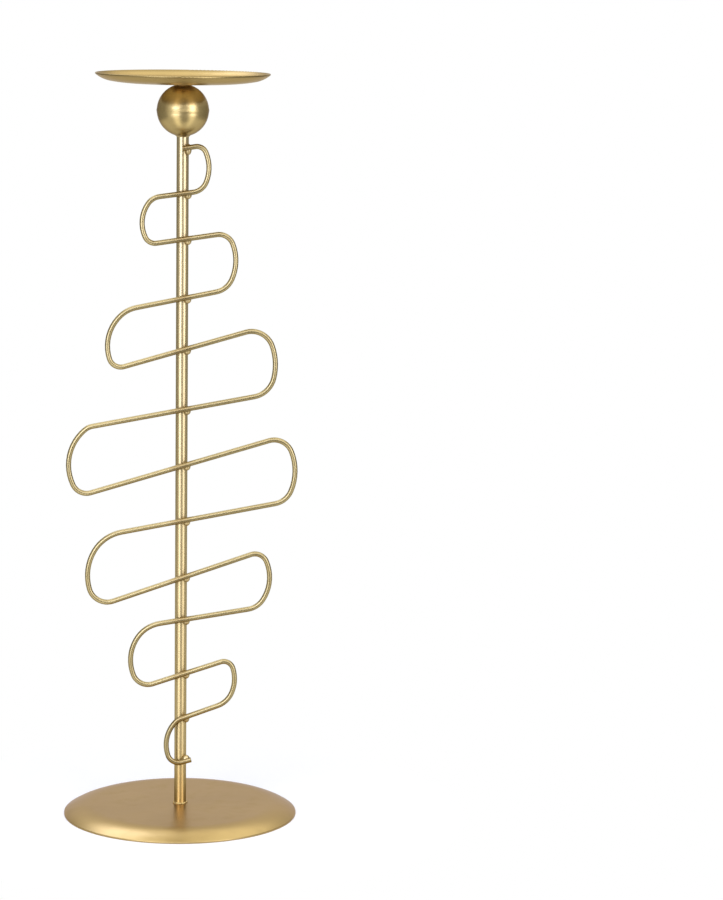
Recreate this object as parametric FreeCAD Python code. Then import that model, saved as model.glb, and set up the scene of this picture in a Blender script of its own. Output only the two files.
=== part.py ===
import FreeCAD, Part
import math
import os

# Pillar candle holder: a pressed base, a tube stem, a ball, a shallow dish, and one long
# wire bent from side to side and welded across the front of the stem.
# Lengths are millimetres and angles are degrees. The origin is the middle of the base's
# underside, +Z is up, and the wire lies in front of the stem, towards -Y.

# Whole holder
RIM_HEIGHT = 433.9              # floor to the dish's rim

# Base, a disc pressed from sheet and open below
BASE_DIAMETER = 136.4
BASE_HEIGHT = 5.85              # floor to the flat middle of its top
BASE_SHEET = 1.2
BASE_SWEEP_RADIUS = 29.5        # the rim turns down on this radius
BASE_LAND = 0.8                 # flat ground under the rim, which it stands on
BASE_EDGE_RADIUS = 0.3

# Stem, a straight tube from the base to the dish
STEM_DIAMETER = 7.0
STEM_WALL = 1.0
STEM_CLEARANCE = 0.1            # round the tube in each hole it passes through

# Ball, two halves pressed from sheet and welded at the middle
BALL_DIAMETER = 29.8
BALL_SHEET = 1.0
BALL_TO_DISH_GAP = 0.4          # filled by the bead round the stem
SEAM_GAP = 0.5                  # between the two halves
SEAM_WIDTH = 3.0                # the weld's ridge over the seam
SEAM_RIDGE = 0.2                # how far its crest stands out of the ball

# Dish, a shallow saucer spun from sheet
DISH_DIAMETER = 100.0
DISH_DEPTH = 5.9                # rim to the flat of its underside
DISH_SHEET = 1.0
DISH_FLAT_DIAMETER = 54.0       # where a candle sits
DISH_WALL_RADIUS = 17.0         # the wall curls up on this radius
DISH_WALL_SLOPE = 40.0          # the wall's slope at the rim

# Wire, one length bent in a flat serpentine
WIRE_DIAMETER = 3.0
WIRE_REACH = 66.1               # stem axis to the wire's axis at the widest bend
WIRE_TOP_GAP = 6.6              # underside of the ball to the highest run, at the stem
WIRE_FOOT_GAP = 25.35           # top of the base to the lowest run, at the stem
WIRE_STEM_GAP = 0.05            # between the wire and the stem, at each crossing
WIRE_TOP_START = 0.3            # stem axis to the cut end of the highest run
WIRE_FOOT_END = 6.6             # stem axis to the cut end of the lowest run

# Straight runs of the wire from the top down: where each one crosses the stem, as a share
# of the way from the lowest run to the highest, and how it climbs to the right
RUN_HEIGHT_SHARES = (1.0, 0.9285, 0.8555, 0.761, 0.678, 0.5815, 0.49,
                     0.4005, 0.3065, 0.2375, 0.1465, 0.073, 0.0)
RUN_SLOPES = (9.0, 8.1, 8.9, 11.9, 16.6, 11.2, 17.2,
              11.4, 19.7, 10.1, 19.0, 20.7, 15.5)

# Bends of the wire from the top down, right and left in turn: the reach as a share of the
# widest reach, then, as shares of the gap between the two runs there, how far down the
# nose lies, and the radii of the upper corner, the nose and the lower corner
BEND_SHARES = (
    (0.232, 0.51, 0.21, 0.85, 0.36),
    (0.345, 0.515, 0.36, 0.73, 0.23),
    (0.469, 0.515, 0.26, 0.83, 0.39),
    (0.644, 0.565, 0.55, 0.73, 0.20),
    (0.820, 0.60, 0.31, 0.83, 0.36),
    (0.985, 0.50, 0.23, 0.68, 0.21),
    (1.000, 0.57, 0.27, 0.79, 0.32),
    (0.819, 0.52, 0.56, 0.69, 0.25),
    (0.785, 0.51, 0.21, 0.72, 0.37),
    (0.439, 0.505, 0.52, 0.65, 0.24),
    (0.482, 0.51, 0.22, 0.85, 0.56),
    (0.121, 0.49, 0.26, 0.79, 0.25),
)

# Weld beads
FOOT_WELD_LEG = 0.8             # fillet round the stem on the base
FOOT_WELD_STITCHES = 9          # lumps that the bead is laid in
NECK_WELD_LEG = 0.9             # fillet round the stem under the ball
DISH_WELD_DIAMETER = 8.6        # bead between the ball and the dish
BEAD_WIDTH = 4.0                # bead behind the wire, on the stem's right flank
BEAD_DEPTH = 4.0
BEAD_HEIGHT = 5.0
BEAD_DROP = 1.2                 # the bead's middle lies this far under the wire's axis
TOP_BEAD_WIDTH = 3.6            # bead at the wire's upper end
TOP_BEAD_HEIGHT = 6.4
TOP_BEAD_DROP = 1.1
FOOT_BEAD_WIDTH = 4.6           # bead on top of the wire's lower end
FOOT_BEAD_HEIGHT = 4.8
FOOT_BEAD_RISE = 1.0

OVERRUN = 5.0                   # how far a cutting tool passes a face

V = FreeCAD.Vector
UP = V(0, 0, 1)
ORIGIN = V(0, 0, 0)

# Derived sizes
base_radius = BASE_DIAMETER / 2
stem_radius = STEM_DIAMETER / 2
stem_hole = stem_radius + STEM_CLEARANCE
ball_radius = BALL_DIAMETER / 2
dish_bottom = RIM_HEIGHT - DISH_DEPTH
ball_centre = V(0, 0, dish_bottom - BALL_TO_DISH_GAP - ball_radius)
ball_bottom = ball_centre.z - ball_radius
wire_radius = WIRE_DIAMETER / 2
wire_plane = -(stem_radius + WIRE_STEM_GAP + wire_radius)
wire_top = ball_bottom - WIRE_TOP_GAP
wire_foot = BASE_HEIGHT + WIRE_FOOT_GAP


def polar(centre, radius, angle):
    """Point on a circle in the XZ plane, with the angle in radians from +X towards +Z."""
    return centre + V(radius * math.cos(angle), 0, radius * math.sin(angle))


def line(start, end):
    return Part.LineSegment(start, end).toShape()


def arc(centre, radius, start, end):
    """Arc in the XZ plane from one angle to another."""
    middle = (start + end) / 2
    points = [polar(centre, radius, angle) for angle in (start, middle, end)]
    return Part.Arc(*points).toShape()


def revolved(edges):
    """Solid made by turning a closed outline in the XZ plane about the Z axis."""
    return Part.Face(Part.Wire(edges)).revolve(ORIGIN, UP, 360)


def upright(radius, bottom, top):
    """Solid cylinder on the Z axis between two heights."""
    return Part.makeCylinder(radius, top - bottom, V(0, 0, bottom))


def ellipsoid(width, depth, height, centre):
    """Ball of diameter one, stretched to three sizes."""
    stretch = FreeCAD.Matrix()
    stretch.scale(width, depth, height)
    shape = Part.makeSphere(1 / 2).transformGeometry(stretch)
    shape.translate(centre)
    return shape


# Base

def base_plate():
    """Pressed disc: flat in the middle, turned down in one sweep, ground flat below."""
    under_radius = BASE_SWEEP_RADIUS - BASE_SHEET
    sweep_centre_height = BASE_HEIGHT - BASE_SWEEP_RADIUS
    land_radius = base_radius - BASE_LAND
    under_angle = math.acos(-sweep_centre_height / under_radius)
    flat_radius = land_radius - under_radius * math.sin(under_angle)
    centre = V(flat_radius, 0, sweep_centre_height)
    top_angle = math.asin((base_radius - flat_radius) / BASE_SWEEP_RADIUS)
    upright_angle = math.pi / 2
    under_edge = polar(centre, under_radius, upright_angle - under_angle)
    top_edge = polar(centre, BASE_SWEEP_RADIUS, upright_angle - top_angle)
    corner = V(base_radius, 0, 0)
    hole_top = V(stem_hole, 0, BASE_HEIGHT)
    hole_bottom = V(stem_hole, 0, BASE_HEIGHT - BASE_SHEET)
    plate = revolved([
        line(hole_bottom, hole_top),
        line(hole_top, polar(centre, BASE_SWEEP_RADIUS, upright_angle)),
        arc(centre, BASE_SWEEP_RADIUS, upright_angle, upright_angle - top_angle),
        line(top_edge, corner),
        line(corner, under_edge),
        arc(centre, under_radius, upright_angle - under_angle, upright_angle),
        line(polar(centre, under_radius, upright_angle), hole_bottom),
    ])
    rim = [edge for edge in plate.Edges
           if edge.BoundBox.XMax > land_radius
           and abs(edge.BoundBox.ZMax - top_edge.z) < BASE_EDGE_RADIUS
           and edge.BoundBox.ZLength < BASE_EDGE_RADIUS]
    return plate.makeFillet(BASE_EDGE_RADIUS, rim)


def foot_weld():
    """Fillet round the stem on the base, laid in short lumps."""
    toe = V(stem_radius + FOOT_WELD_LEG, 0, BASE_HEIGHT)
    throat = V(stem_radius, 0, BASE_HEIGHT + FOOT_WELD_LEG)
    root = V(stem_radius - STEM_WALL, 0, BASE_HEIGHT)
    inside = V(root.x, 0, throat.z)
    bead = revolved([line(root, toe), line(toe, throat), line(throat, inside), line(inside, root)])
    lump = FOOT_WELD_LEG * 3 / 4
    for stitch in range(FOOT_WELD_STITCHES):
        ball = Part.makeSphere(lump, V(stem_radius + lump / 2, 0, BASE_HEIGHT + lump / 2))
        ball.rotate(ORIGIN, UP, 360 * stitch / FOOT_WELD_STITCHES)
        bead = bead.fuse(ball)
    keep = upright(base_radius, BASE_HEIGHT, BASE_HEIGHT + OVERRUN)
    return bead.common(keep.cut(upright(stem_radius, BASE_HEIGHT - OVERRUN, RIM_HEIGHT)))


# Stem

def stem_tube():
    foot = BASE_HEIGHT - BASE_SHEET
    tube = upright(stem_radius, foot, dish_bottom)
    return tube.cut(upright(stem_radius - STEM_WALL, foot - OVERRUN, dish_bottom + OVERRUN))


# Serpentine wire

def run_line(run):
    """Height of a straight run at the stem axis, and the tangent of its slope."""
    height = wire_foot + RUN_HEIGHT_SHARES[run] * (wire_top - wire_foot)
    return height, math.tan(math.radians(RUN_SLOPES[run]))


def run_point(run, x):
    height, rise = run_line(run)
    return V(x, wire_plane, height + rise * x)


def corner_arc(height, angle, inward, radius, nose, nose_radius):
    """Centre of a corner that touches a run and the inside of the nose's circle.

    The run passes the stem at this height and climbs at this angle towards the nose.
    inward is -1 where the corner hangs under its run, and 1 where it lies on it.
    """
    direction = V(math.cos(angle), 0, math.sin(angle))
    across = V(-math.sin(angle), 0, math.cos(angle)) * inward
    start = V(0, 0, height) + across * radius - nose
    along = start.dot(direction)
    reach = nose_radius - radius
    travel = math.sqrt(along ** 2 - start.dot(start) + reach ** 2) - along
    return nose + start + direction * travel


def bend_arcs(bend):
    """The three arcs of a bend, each as its first, middle and last point."""
    side = 1 if bend % 2 == 0 else -1
    reach_share, nose_share, upper_share, middle_share, lower_share = BEND_SHARES[bend]
    reach = reach_share * WIRE_REACH
    upper_height, upper_rise = run_line(bend)
    lower_height, lower_rise = run_line(bend + 1)
    above = upper_height + side * upper_rise * reach
    gap = above - lower_height - side * lower_rise * reach
    nose_radius = middle_share * gap
    nose = V(reach - nose_radius, 0, above - nose_share * gap)
    upper_angle = math.atan(side * upper_rise)
    lower_angle = math.atan(side * lower_rise)
    upper_radius = upper_share * gap
    lower_radius = lower_share * gap
    upper = corner_arc(upper_height, upper_angle, -1, upper_radius, nose, nose_radius)
    lower = corner_arc(lower_height, lower_angle, 1, lower_radius, nose, nose_radius)
    out = math.atan2(upper.z - nose.z, upper.x - nose.x)
    back = math.atan2(lower.z - nose.z, lower.x - nose.x)
    quarter = math.pi / 2
    sweeps = (
        (upper, upper_radius, upper_angle + quarter, out),
        (nose, nose_radius, out, back),
        (lower, lower_radius, back, lower_angle - quarter),
    )
    arcs = []
    for centre, radius, start, end in sweeps:
        points = [polar(centre, radius, angle) for angle in (start, (start + end) / 2, end)]
        arcs.append([V(side * point.x, wire_plane, point.z) for point in points])
    return arcs


def wire_path():
    """Straight runs joined by tangent bends, from the upper cut end to the lower one."""
    edges = []
    here = run_point(0, WIRE_TOP_START)
    for bend in range(len(BEND_SHARES)):
        arcs = bend_arcs(bend)
        edges.append(line(here, arcs[0][0]))
        edges += [Part.Arc(*points).toShape() for points in arcs]
        here = arcs[-1][-1]
    edges.append(line(here, run_point(len(BEND_SHARES), WIRE_FOOT_END)))
    return Part.Wire(edges)


def serpentine_wire():
    path = wire_path()
    start = path.Edges[0]
    circle = Part.Circle(start.valueAt(start.FirstParameter), start.tangentAt(start.FirstParameter),
                         wire_radius)
    pipe = path.makePipeShell([Part.Wire(circle.toShape())], True, False)
    drawn = math.pi * wire_radius ** 2 * path.Length
    print("wire length", round(path.Length, 1), "volume", round(pipe.Volume / drawn, 4))
    return pipe


def bead_at(run, wire, width, height, drop):
    """Weld bead between the back of the wire and the stem's right flank."""
    place = run_point(run, stem_radius)
    place.y = -stem_radius
    place.z -= drop
    bead = ellipsoid(width, BEAD_DEPTH, height, place)
    return bead.cut([wire, upright(stem_radius, -OVERRUN, RIM_HEIGHT)])


def crossing_welds(wire):
    """One bead at each crossing between the wire's two ends."""
    last = len(RUN_HEIGHT_SHARES) - 1
    beads = [bead_at(run, wire, BEAD_WIDTH, BEAD_HEIGHT, BEAD_DROP) for run in range(1, last)]
    return Part.makeCompound([solid for bead in beads for solid in bead.Solids])


def wire_top_weld(wire):
    return bead_at(0, wire, TOP_BEAD_WIDTH, TOP_BEAD_HEIGHT, TOP_BEAD_DROP)


def wire_foot_weld(wire):
    last = len(RUN_HEIGHT_SHARES) - 1
    return bead_at(last, wire, FOOT_BEAD_WIDTH, FOOT_BEAD_HEIGHT, -FOOT_BEAD_RISE)


# Ball

def ball_half(side):
    """Half a hollow ball with a hole for the stem: side is 1 for the upper one."""
    shell = Part.makeSphere(ball_radius, ball_centre)
    shell = shell.cut(Part.makeSphere(ball_radius - BALL_SHEET, ball_centre))
    shell = shell.cut(upright(stem_hole, ball_bottom - OVERRUN, dish_bottom))
    seam = ball_centre.z + side * SEAM_GAP / 2
    keep = upright(BALL_DIAMETER, seam, seam + BALL_DIAMETER)
    if side < 0:
        keep = upright(BALL_DIAMETER, seam - BALL_DIAMETER, seam)
    return shell.common(keep)


def ball_seam_weld(halves):
    """Ring that fills the gap between the halves and lies over the seam in a low ridge."""
    inner = ball_radius - BALL_SHEET
    half_width = SEAM_WIDTH / 2
    edge = math.sqrt(ball_radius ** 2 - half_width ** 2)
    corners = [
        V(inner, 0, ball_centre.z - half_width),
        V(edge, 0, ball_centre.z - half_width),
        V(ball_radius + SEAM_RIDGE, 0, ball_centre.z),
        V(edge, 0, ball_centre.z + half_width),
        V(inner, 0, ball_centre.z + half_width),
    ]
    ring = revolved([line(a, b) for a, b in zip(corners, corners[1:] + corners[:1])])
    return ring.cut(halves)


def ball_neck_weld():
    """Small fillet round the stem where it enters the ball."""
    toe = stem_radius + NECK_WELD_LEG
    mouth = ball_centre.z - math.sqrt(ball_radius ** 2 - toe ** 2)
    foot = mouth - NECK_WELD_LEG
    bead = revolved([
        line(V(stem_radius, 0, foot), V(toe, 0, mouth)),
        line(V(toe, 0, mouth), V(stem_radius, 0, mouth)),
        line(V(stem_radius, 0, mouth), V(stem_radius, 0, foot)),
    ])
    return bead.cut(Part.makeSphere(ball_radius, ball_centre))


# Dish

def candle_dish():
    """Shallow saucer: flat middle, gentle sweep, then a wall that curls up to a round lip."""
    lip = DISH_SHEET / 2
    slope = math.radians(DISH_WALL_SLOPE)
    end = V(DISH_DIAMETER / 2 - lip * (1 - math.sin(slope)), 0,
            RIM_HEIGHT - lip * (1 + math.cos(slope)))
    wall = end + V(-DISH_WALL_RADIUS * math.sin(slope), 0, DISH_WALL_RADIUS * math.cos(slope))
    flat = DISH_FLAT_DIAMETER / 2
    across = wall.x - flat
    rise = wall.z - dish_bottom
    sweep_radius = (across ** 2 + rise ** 2 - DISH_WALL_RADIUS ** 2) / (2 * (rise - DISH_WALL_RADIUS))
    sweep = V(flat, 0, dish_bottom + sweep_radius)
    down = -math.pi / 2
    turn = down + math.asin(across / (sweep_radius - DISH_WALL_RADIUS))
    stop = down + slope
    lip_centre = polar(wall, DISH_WALL_RADIUS - lip, stop)
    return revolved([
        line(V(0, 0, dish_bottom), V(flat, 0, dish_bottom)),
        arc(sweep, sweep_radius, down, turn),
        arc(wall, DISH_WALL_RADIUS, turn, stop),
        arc(lip_centre, lip, stop, stop + math.pi),
        arc(wall, DISH_WALL_RADIUS - DISH_SHEET, stop, turn),
        arc(sweep, sweep_radius - DISH_SHEET, turn, down),
        line(V(flat, 0, dish_bottom + DISH_SHEET), V(0, 0, dish_bottom + DISH_SHEET)),
        line(V(0, 0, dish_bottom + DISH_SHEET), V(0, 0, dish_bottom)),
    ])


def dish_weld():
    """Bead round the stem's top that fills the gap between the ball and the dish."""
    bead = upright(DISH_WELD_DIAMETER / 2, ball_centre.z, dish_bottom)
    return bead.cut([Part.makeSphere(ball_radius, ball_centre),
                     upright(stem_hole, ball_bottom, dish_bottom)])


wire = serpentine_wire()
halves = [ball_half(-1), ball_half(1)]
nodes = {
    "base_plate": base_plate(),
    "stem_tube": stem_tube(),
    "foot_weld": foot_weld(),
    "serpentine_wire": wire,
    "crossing_welds": crossing_welds(wire),
    "wire_top_weld": wire_top_weld(wire),
    "wire_foot_weld": wire_foot_weld(wire),
    "ball_lower_half": halves[0],
    "ball_upper_half": halves[1],
    "ball_seam_weld": ball_seam_weld(halves),
    "ball_neck_weld": ball_neck_weld(),
    "candle_dish": candle_dish(),
    "dish_weld": dish_weld(),
}

os.makedirs("parts", exist_ok=True)
for name, shape in nodes.items():
    print(name, "valid", shape.isValid(), "solids", len(shape.Solids), "faces", len(shape.Faces),
          "volume", round(shape.Volume, 2))
    shape.exportStep("parts/" + name + ".step")
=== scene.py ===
import math

import bpy
from mathutils import Matrix, Vector

# Looks of a tall pillar candle holder in satin gold. Every form is a CAD solid and keeps its
# shape; added here are the materials, the floor, the surroundings, the lamps and the camera.
# Metres and radians, Z up. The wire lies in front of the stem, towards -Y.

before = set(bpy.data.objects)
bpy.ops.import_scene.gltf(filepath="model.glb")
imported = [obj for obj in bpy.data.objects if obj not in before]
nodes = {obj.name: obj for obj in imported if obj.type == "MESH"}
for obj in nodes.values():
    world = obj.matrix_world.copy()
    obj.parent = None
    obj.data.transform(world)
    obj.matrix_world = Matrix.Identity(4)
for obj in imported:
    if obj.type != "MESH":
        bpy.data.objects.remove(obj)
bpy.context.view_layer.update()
scene = bpy.context.scene


# Materials

# Noise patterns in the plating: cycles per metre, and detail.
CLOUD_NOISE = (28, 3)
RUBBED_NOISE = (75, 3)
GLOSS_NOISE = (140, 2)
TINT_EDGE_NOISE = (400, 3)
GRAIN_NOISE = (900, 3)

CLOUD_RANGE = (-0.6, 1.6)
RUBBED_RANGE = (0.54, 0.76)
RUBBED_DARKENING = 0.5
RUBBED_ROUGHENING = 0.06
GLOSS_SPREAD = 0.04
GRAIN_HEIGHT = 0.00004
TINT_EDGE_SPREAD = 0.003

ALL_WAYS_ALIKE = (1, 1, 1)
DRAWN_ALONG_Z = (1, 1, 0.25)
STEM_POLISH = 0.6
QUARTER_TURN = 0.25


def new_material(name):
    material = bpy.data.materials.new(name)
    material.use_nodes = True
    return material, material.node_tree


def value_mix(tree, factor, low, high, start=0, stop=1):
    """Map Range node that turns start..stop into low..high."""
    ranged = tree.nodes.new("ShaderNodeMapRange")
    ranged.inputs["From Min"].default_value = start
    ranged.inputs["From Max"].default_value = stop
    ranged.inputs["To Min"].default_value = low
    ranged.inputs["To Max"].default_value = high
    tree.links.new(factor, ranged.inputs["Value"])
    return ranged.outputs["Result"]


def combine(tree, operation, first, second):
    """Math node on two values, the second one a number or an output."""
    step = tree.nodes.new("ShaderNodeMath")
    step.operation = operation
    tree.links.new(first, step.inputs[0])
    if isinstance(second, (int, float)):
        step.inputs[1].default_value = second
    else:
        tree.links.new(second, step.inputs[1])
    return step.outputs[0]


def noise(tree, pattern, stretch=ALL_WAYS_ALIKE):
    """Noise in the object's own coordinates."""
    scale, detail = pattern
    place = tree.nodes.new("ShaderNodeTexCoord")
    mapping = tree.nodes.new("ShaderNodeMapping")
    mapping.inputs["Scale"].default_value = stretch
    texture = tree.nodes.new("ShaderNodeTexNoise")
    texture.inputs["Scale"].default_value = scale
    texture.inputs["Detail"].default_value = detail
    tree.links.new(place.outputs["Object"], mapping.inputs["Vector"])
    tree.links.new(mapping.outputs["Vector"], texture.inputs["Vector"])
    return texture.outputs["Fac"]


def satin_gold(name, dark, light, edge, roughness, grain, stretch=ALL_WAYS_ALIKE):
    """Satin gold plating: cloudy tone, rubbed patches, uneven gloss and a fine grain."""
    material, tree = new_material(name)
    shader = tree.nodes["Principled BSDF"]
    shader.inputs["Metallic"].default_value = 1
    shader.inputs["Specular Tint"].default_value = (*edge, 1)
    cloud = value_mix(tree, noise(tree, CLOUD_NOISE, stretch), *CLOUD_RANGE)
    rubbed = value_mix(tree, noise(tree, RUBBED_NOISE, stretch), 0, 1, *RUBBED_RANGE)
    tone = tree.nodes.new("ShaderNodeMix")
    tone.data_type = "RGBA"
    tone.inputs["A"].default_value = (*dark, 1)
    tone.inputs["B"].default_value = (*light, 1)
    darkening = combine(tree, "MULTIPLY", rubbed, RUBBED_DARKENING)
    tree.links.new(combine(tree, "SUBTRACT", cloud, darkening), tone.inputs["Factor"])
    tree.links.new(tone.outputs["Result"], shader.inputs["Base Color"])
    gloss = value_mix(tree, noise(tree, GLOSS_NOISE, stretch),
                      roughness - GLOSS_SPREAD, roughness + GLOSS_SPREAD)
    worn = combine(tree, "MULTIPLY", rubbed, RUBBED_ROUGHENING)
    tree.links.new(combine(tree, "ADD", gloss, worn), shader.inputs["Roughness"])
    bump = tree.nodes.new("ShaderNodeBump")
    bump.inputs["Strength"].default_value = grain
    bump.inputs["Distance"].default_value = GRAIN_HEIGHT
    tree.links.new(noise(tree, GRAIN_NOISE, stretch), bump.inputs["Height"])
    tree.links.new(bump.outputs["Normal"], shader.inputs["Normal"])
    return material


def polish_round(material, amount):
    """Polishing lines round the Z axis, which draw each reflection out along that axis."""
    tree = material.node_tree
    shader = tree.nodes["Principled BSDF"]
    shader.inputs["Anisotropic"].default_value = amount
    shader.inputs["Anisotropic Rotation"].default_value = QUARTER_TURN
    tangent = tree.nodes.new("ShaderNodeTangent")
    tangent.direction_type = "RADIAL"
    tangent.axis = "Z"
    tree.links.new(tangent.outputs["Tangent"], shader.inputs["Tangent"])


def tint_along(material, axis, tint, inner, outer, uneven=TINT_EDGE_SPREAD):
    """Multiply by a tint along one axis: full at inner, gone at outer, either way round."""
    tree = material.node_tree
    shader = tree.nodes["Principled BSDF"]
    clean = shader.inputs["Base Color"].links[0].from_socket
    place = tree.nodes.new("ShaderNodeTexCoord")
    parts = tree.nodes.new("ShaderNodeSeparateXYZ")
    tree.links.new(place.outputs["Object"], parts.inputs[0])
    offset = combine(tree, "ABSOLUTE", parts.outputs[axis], 0)
    spread = combine(tree, "MULTIPLY", noise(tree, TINT_EDGE_NOISE), uneven)
    near = value_mix(tree, combine(tree, "ADD", offset, spread), 1, 0, inner, outer)
    tinted = tree.nodes.new("ShaderNodeMix")
    tinted.data_type = "RGBA"
    tinted.blend_type = "MULTIPLY"
    tinted.inputs["B"].default_value = (*tint, 1)
    tree.links.new(near, tinted.inputs["Factor"])
    tree.links.new(clean, tinted.inputs["A"])
    tree.links.new(tinted.outputs["Result"], shader.inputs["Base Color"])


base_gold = satin_gold("base_satin_gold", dark=(0.38, 0.272, 0.107), light=(0.42, 0.30, 0.12),
                       edge=(0.76, 0.67, 0.67), roughness=0.3, grain=0.01)
stem_gold = satin_gold("stem_satin_gold", dark=(0.45, 0.362, 0.197), light=(0.50, 0.402, 0.219),
                       edge=(0.52, 0.51, 0.43), roughness=0.38, grain=0.02,
                       stretch=DRAWN_ALONG_Z)
wire_gold = satin_gold("wire_satin_gold", dark=(0.295, 0.234, 0.11), light=(0.333, 0.264, 0.124),
                       edge=(0.60, 0.58, 0.46), roughness=0.3, grain=0.01)
ball_gold = satin_gold("ball_satin_gold", dark=(0.35, 0.258, 0.102), light=(0.55, 0.424, 0.188),
                       edge=(0.45, 0.42, 0.45), roughness=0.3, grain=0.1)
dish_gold = satin_gold("dish_satin_gold", dark=(0.37, 0.27, 0.107), light=(0.417, 0.304, 0.122),
                       edge=(0.72, 0.65, 0.56), roughness=0.32, grain=0.02)
weld_gold = satin_gold("weld_satin_gold", dark=(0.37, 0.287, 0.141), light=(0.49, 0.382, 0.193),
                       edge=(0.6, 0.56, 0.46), roughness=0.36, grain=0.5)
polish_round(stem_gold, STEM_POLISH)
# Browned by the welds next to the stem.
tint_along(wire_gold, "X", tint=(0.8, 0.74, 0.68), inner=0.004, outer=0.009)
# Painted reflection of the gold base: the stem is tinted warmer towards its foot.
tint_along(stem_gold, "Z", tint=(1.02, 0.97, 0.82), inner=0.01, outer=0.32)
tint_along(stem_gold, "Z", tint=(1.06, 0.95, 0.72), inner=0.005, outer=0.045)
# Painted light: the ball is lighter towards its top, lifting the shade under the dish.
tint_along(ball_gold, "Z", tint=(1.5, 1.5, 1.7), inner=0.4268, outer=0.4148)
# Painted shade: darker along the lip of the dish.
tint_along(dish_gold, "Z", tint=(0.65, 0.65, 0.65), inner=0.4335, outer=0.4322, uneven=0)

FINISHES = {
    "base_plate": base_gold,
    "stem_tube": stem_gold,
    "serpentine_wire": wire_gold,
    "ball_lower_half": ball_gold,
    "ball_upper_half": ball_gold,
    "ball_seam_weld": ball_gold,
    "candle_dish": dish_gold,
    "foot_weld": base_gold,
    "crossing_welds": weld_gold,
    "wire_top_weld": weld_gold,
    "wire_foot_weld": weld_gold,
    "ball_neck_weld": weld_gold,
    "dish_weld": weld_gold,
}
for node, finish in FINISHES.items():
    for slot in nodes[node].material_slots:
        slot.material = finish


# Floor and surroundings

FLOOR_REACH = 30
FLOOR_DROP = 0.00005
FLOOR_COLOUR = (0.84, 0.83, 0.78)
FLOOR_LIFT = 0.17
LIT_RADIUS = 0.075
WHITE_RADIUS = 0.17
WORLD_FILL = 0.15

SIDE_CARD_TONE = 0.4
FRONT_CARD_TONE = 0.38
CAMERA_CARD_TONE = 0.45
SIDE_CARD_X = 0.8
SIDE_CARD_Y = (-0.3, 1.3)
SIDE_CARD_TOP = 0.7
FRONT_CARD_X = 0.55
FRONT_CARD_Y = (-1.7, -0.33)
FRONT_CARD_Z = 0.001
CAMERA_CARD_X = (-0.32, 0.55)
CAMERA_CARD_Y = -1.25
CAMERA_CARD_TOP = 0.85

GLEAM_REACH = (0.13, 1.0)
GLEAM_Z = 0.002
LEFT_PLACE = (-0.54, -1.02, 0.37)
RIGHT_PLACE = (0.85, -0.78, 0.52)
COOL = (0.97, 1, 1.25)


def seen_directly(tree):
    """1 for camera, glossy and transmission rays, and 0 for the rest."""
    path = tree.nodes.new("ShaderNodeLightPath")
    total = path.outputs["Is Camera Ray"]
    for ray in ("Is Glossy Ray", "Is Transmission Ray"):
        total = combine(tree, "MAXIMUM", total, path.outputs[ray])
    return total


def plane(name, corners):
    mesh = bpy.data.meshes.new(name)
    mesh.from_pydata(corners, [], [(0, 1, 2, 3)])
    board = bpy.data.objects.new(name, mesh)
    scene.collection.objects.link(board)
    return board


def make_floor():
    """White floor: lit and shadowed next to the holder, even white farther out."""
    floor = plane("floor", [(-FLOOR_REACH, -FLOOR_REACH, 0), (FLOOR_REACH, -FLOOR_REACH, 0),
                            (FLOOR_REACH, FLOOR_REACH, 0), (-FLOOR_REACH, FLOOR_REACH, 0)])
    floor.location.z = -FLOOR_DROP
    material, tree = new_material("floor_white")
    tree.nodes.remove(tree.nodes["Principled BSDF"])
    direct = seen_directly(tree)
    diffuse = tree.nodes.new("ShaderNodeBsdfDiffuse")
    diffuse.inputs["Color"].default_value = (*FLOOR_COLOUR, 1)
    lift = tree.nodes.new("ShaderNodeEmission")
    tree.links.new(combine(tree, "MULTIPLY", direct, FLOOR_LIFT), lift.inputs["Strength"])
    lit = tree.nodes.new("ShaderNodeAddShader")
    tree.links.new(diffuse.outputs[0], lit.inputs[0])
    tree.links.new(lift.outputs[0], lit.inputs[1])
    place = tree.nodes.new("ShaderNodeTexCoord")
    length = tree.nodes.new("ShaderNodeVectorMath")
    length.operation = "LENGTH"
    tree.links.new(place.outputs["Object"], length.inputs[0])
    distance = value_mix(tree, length.outputs["Value"], 0, 1, LIT_RADIUS, WHITE_RADIUS)
    white = tree.nodes.new("ShaderNodeEmission")
    both = tree.nodes.new("ShaderNodeMixShader")
    tree.links.new(combine(tree, "MULTIPLY", distance, direct), both.inputs[0])
    tree.links.new(lit.outputs[0], both.inputs[1])
    tree.links.new(white.outputs[0], both.inputs[2])
    tree.links.new(both.outputs[0], tree.nodes["Material Output"].inputs["Surface"])
    material.cycles.emission_sampling = "NONE"
    floor.data.materials.append(material)


def make_world():
    """White where it is seen or mirrored, and a low fill for diffuse rays."""
    world = bpy.data.worlds.new("studio")
    world.use_nodes = True
    scene.world = world
    tree = world.node_tree
    background = tree.nodes["Background"]
    background.inputs["Color"].default_value = (1, 1, 1, 1)
    level = value_mix(tree, seen_directly(tree), WORLD_FILL, 1)
    tree.links.new(level, background.inputs["Strength"])
    world.cycles.sampling_method = "NONE"


def grey_card(name, corners, strength):
    """Card near the holder, there only to be mirrored in the metal."""
    card = plane(name, corners)
    material, tree = new_material(name)
    tree.nodes.remove(tree.nodes["Principled BSDF"])
    tone = tree.nodes.new("ShaderNodeEmission")
    tone.inputs["Strength"].default_value = strength
    tree.links.new(tone.outputs[0], tree.nodes["Material Output"].inputs["Surface"])
    material.cycles.emission_sampling = "NONE"
    card.data.materials.append(material)
    card.visible_camera = False
    card.visible_shadow = False
    card.visible_diffuse = False


def upright_card(name, first, second, top, strength):
    """Card that stands on the floor between two points given as X and Y."""
    grey_card(name, [(*first, 0), (*second, 0), (*second, top), (*first, top)], strength)


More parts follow.
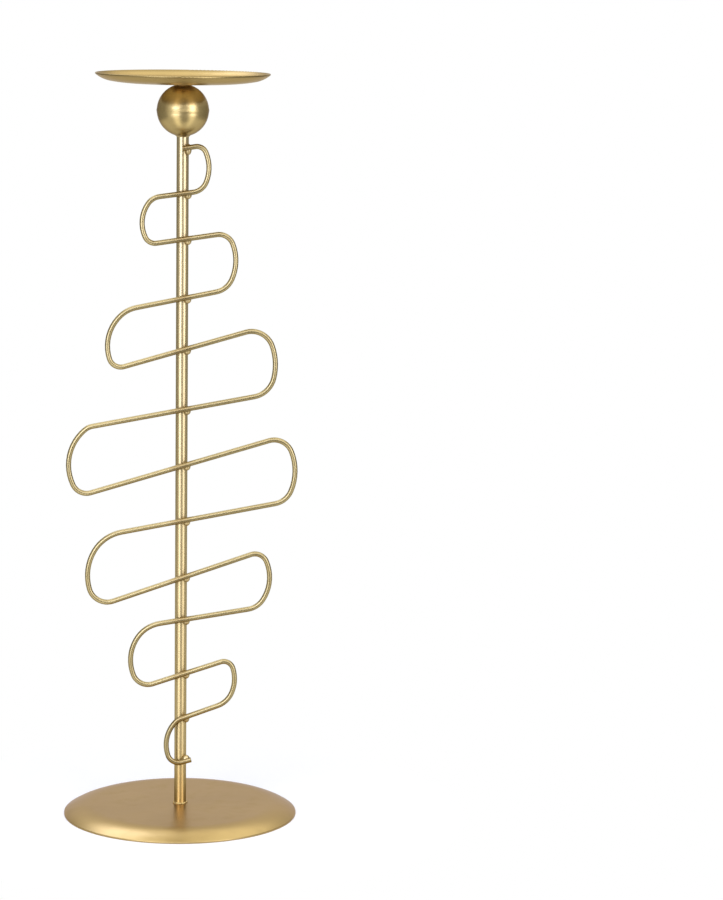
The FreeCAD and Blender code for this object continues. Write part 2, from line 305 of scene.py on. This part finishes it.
def gleam(name, lamp_place, half_angle, radiance):
    """Strip of the table that mirrors a softbox, there only to be mirrored in the metal."""
    along = Vector(lamp_place[:2]).normalized()
    across = Vector((-along.y, along.x))
    start, stop = GLEAM_REACH
    corners = []
    for reach, side in ((start, -1), (stop, -1), (stop, 1), (start, 1)):
        spot = along * reach + across * (side * reach * math.tan(half_angle))
        corners.append((spot.x, spot.y, GLEAM_Z))
    grey_card(name, corners, radiance)


def softbox(name, place, aim, width, height, radiance, colour=(1, 1, 1)):
    """Rectangular lamp that faces a point, unseen by the camera."""
    lamp = bpy.data.lights.new(name, "AREA")
    lamp.shape = "RECTANGLE"
    lamp.size = width
    lamp.size_y = height
    lamp.energy = radiance * width * height * math.pi
    lamp.color = colour
    holder = bpy.data.objects.new(name, lamp)
    scene.collection.objects.link(holder)
    holder.location = place
    holder.rotation_euler = (Vector(aim) - Vector(place)).to_track_quat("-Z", "Y").to_euler()
    holder.visible_camera = False


make_floor()
make_world()
for name, x in (("card_left", -SIDE_CARD_X), ("card_right", SIDE_CARD_X)):
    upright_card(name, (x, SIDE_CARD_Y[0]), (x, SIDE_CARD_Y[1]), SIDE_CARD_TOP, SIDE_CARD_TONE)
grey_card("card_front", [(-FRONT_CARD_X, FRONT_CARD_Y[0], FRONT_CARD_Z),
                         (FRONT_CARD_X, FRONT_CARD_Y[0], FRONT_CARD_Z),
                         (FRONT_CARD_X, FRONT_CARD_Y[1], FRONT_CARD_Z),
                         (-FRONT_CARD_X, FRONT_CARD_Y[1], FRONT_CARD_Z)], FRONT_CARD_TONE)
upright_card("card_camera", (CAMERA_CARD_X[0], CAMERA_CARD_Y),
             (CAMERA_CARD_X[1], CAMERA_CARD_Y), CAMERA_CARD_TOP, CAMERA_CARD_TONE)
gleam("gleam_left", LEFT_PLACE, half_angle=math.radians(15), radiance=2.3)
gleam("gleam_right", RIGHT_PLACE, half_angle=math.radians(13), radiance=1.9)

softbox("softbox_left", place=LEFT_PLACE, aim=(0, 0, 0.37),
        width=0.62, height=0.72, radiance=4.8, colour=(0.95, 1.03, 1.4))
softbox("softbox_right", place=RIGHT_PLACE, aim=(0, 0, 0.52),
        width=0.55, height=1.0, radiance=4.0, colour=COOL)
softbox("softbox_front", place=(0, -1.0, 1.2), aim=(0, 0, 0.25),
        width=1.6, height=0.7, radiance=2.6, colour=COOL)
softbox("softbox_top", place=(0, 0.45, 1.45), aim=(0, 0.45, 0),
        width=2.0, height=2.1, radiance=1.05)
softbox("softbox_back", place=(-0.56, 0.7, 1.25), aim=(0, 0, 0),
        width=0.7, height=0.6, radiance=1.7, colour=(0.88, 1.03, 1.8))


# Camera, fitted to the photograph

PHOTO_LONG_SIDE = 900
FOCAL_PIXELS = 3153.7
SENSOR_WIDTH = 36
CAMERA_PLACE = (0.10443, -1.80741, 0.50214)
PITCH = math.radians(8.94)
ROLL = math.radians(0.75)

camera_data = bpy.data.cameras.new("camera")
camera_data.sensor_width = SENSOR_WIDTH
camera_data.lens = SENSOR_WIDTH * FOCAL_PIXELS / PHOTO_LONG_SIDE
camera = bpy.data.objects.new("camera", camera_data)
scene.collection.objects.link(camera)
scene.camera = camera
look = Vector((0, math.cos(PITCH), -math.sin(PITCH)))
level_right = Vector((1, 0, 0))
level_up = level_right.cross(look)
right = level_right * math.cos(ROLL) + level_up * math.sin(ROLL)
up = level_up * math.cos(ROLL) - level_right * math.sin(ROLL)
turn = Matrix((right, up, -look)).transposed().to_4x4()
camera.matrix_world = Matrix.Translation(CAMERA_PLACE) @ turn

scene.view_settings.view_transform = "Standard"
